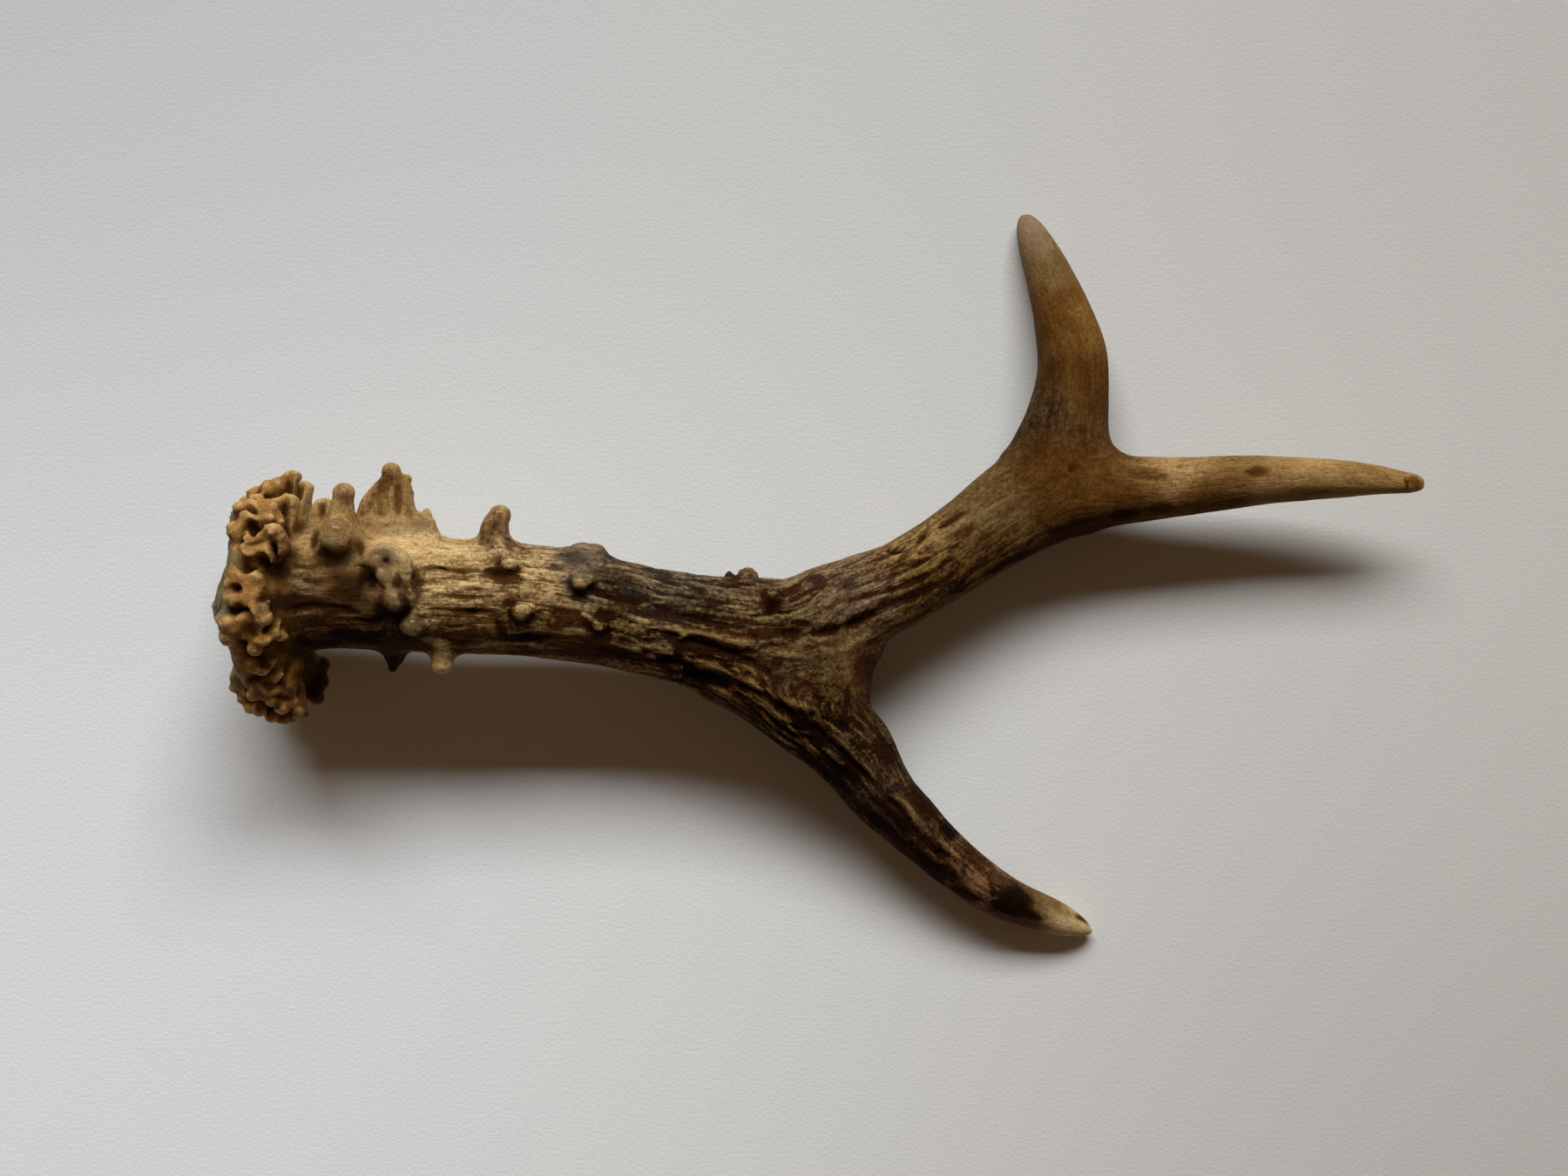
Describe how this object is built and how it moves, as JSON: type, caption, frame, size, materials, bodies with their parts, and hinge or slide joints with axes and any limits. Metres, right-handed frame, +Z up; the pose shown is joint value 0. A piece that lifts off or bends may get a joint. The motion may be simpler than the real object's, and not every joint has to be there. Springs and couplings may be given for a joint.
{
  "type": "deer antler",
  "caption": "Shed roe deer antler lying on its side: rough burr, pearled and grooved beam, smooth pointed tines at two forks.",
  "frame": {"origin": "middle of the antler's outline, on the surface that it lies on", "axes": "+X from the burr along the beam to the top tine, +Y towards the rear tine's tip, +Z up"},
  "size_m": [0.2074, 0.1286, 0.0376],
  "materials": {
    "pearled_antler": "satin",
    "grooved_antler": "satin",
    "stained_tine": "satin",
    "polished_tine": "semi-gloss",
    "pale_tine": "semi-gloss"
  },
  "bodies": {
    "root": {"lower_beam": "pearled_antler", "upper_beam": "grooved_antler", "front_tine": "stained_tine", "rear_tine": "polished_tine", "top_tine": "pale_tine"}
  },
  "joints": []
}
